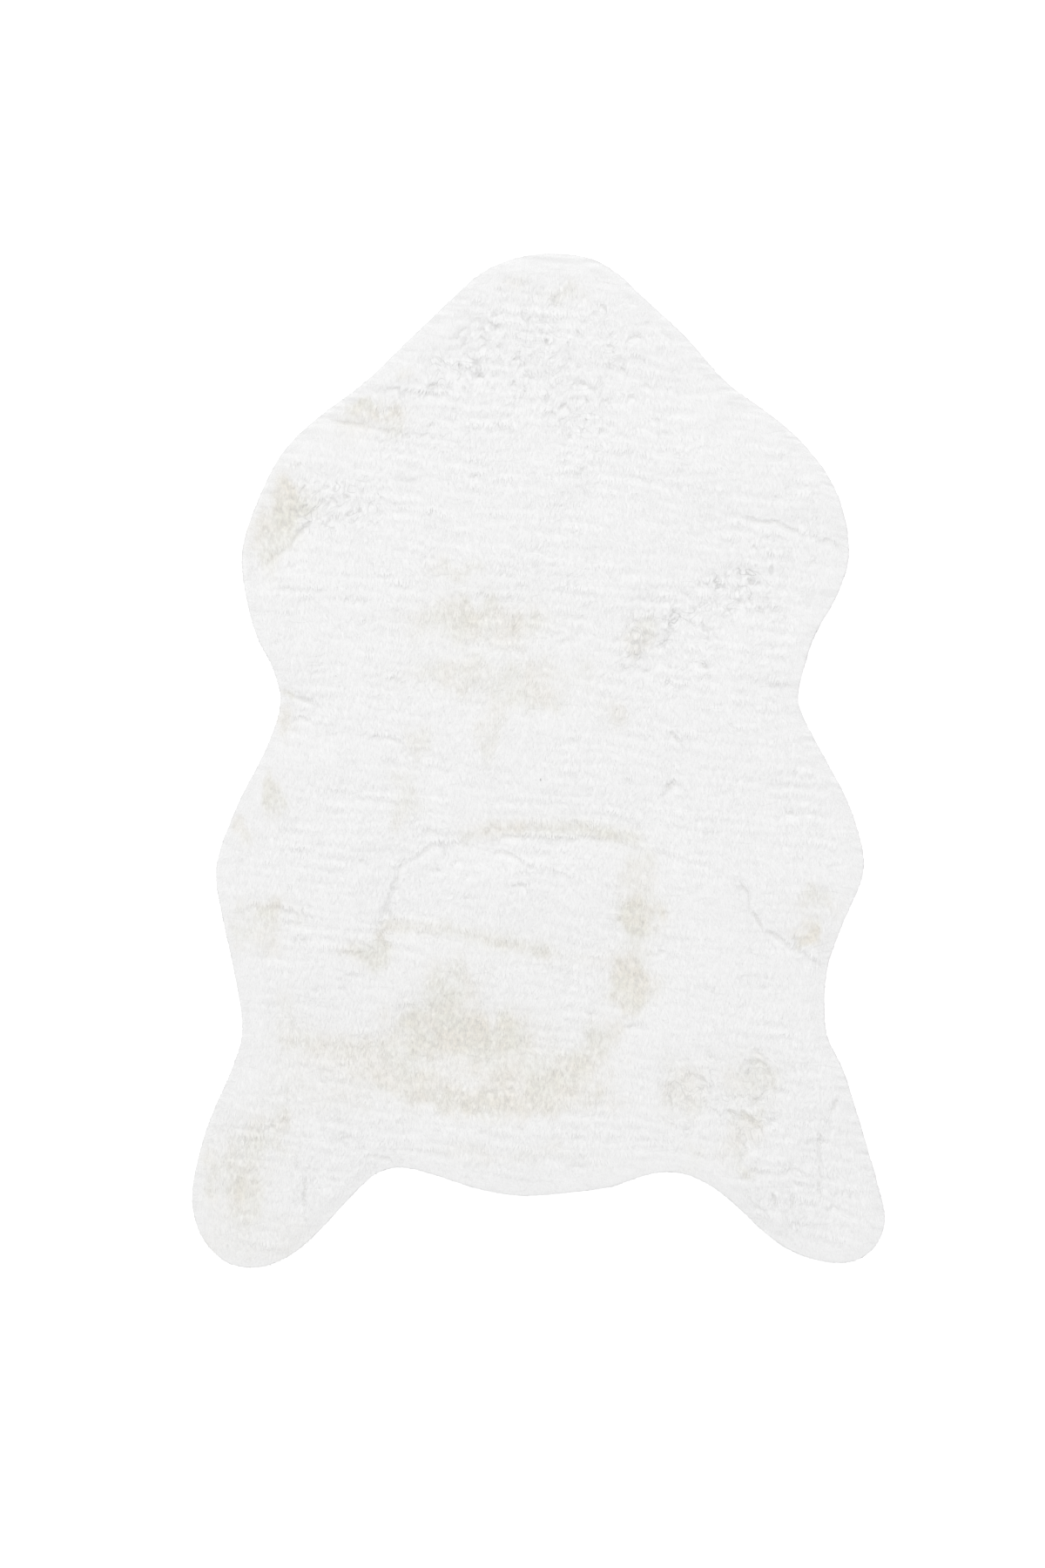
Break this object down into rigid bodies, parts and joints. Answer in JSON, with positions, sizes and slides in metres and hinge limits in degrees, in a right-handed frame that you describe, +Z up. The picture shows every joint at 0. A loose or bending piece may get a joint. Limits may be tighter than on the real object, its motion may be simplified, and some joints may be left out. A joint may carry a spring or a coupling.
{
  "type": "fur rug",
  "caption": "White fur rug in the outline of a small hide, a sheet of short dense pile on a knitted backing, to lie flat on a floor as a soft mat.",
  "frame": {"origin": "on the flat underside, at the middle of the rug's length and width", "axes": "+Z up out of the pile, +Y towards the neck end, +X towards the right-hand side seen from above with the neck away"},
  "size_m": [0.6149, 0.8999, 0.0182],
  "materials": {
    "white_fur": "short dense plush pile, matt, cream where the pile lies open"
  },
  "bodies": {
    "root": {"fur_rug": "white_fur"}
  },
  "joints": []
}
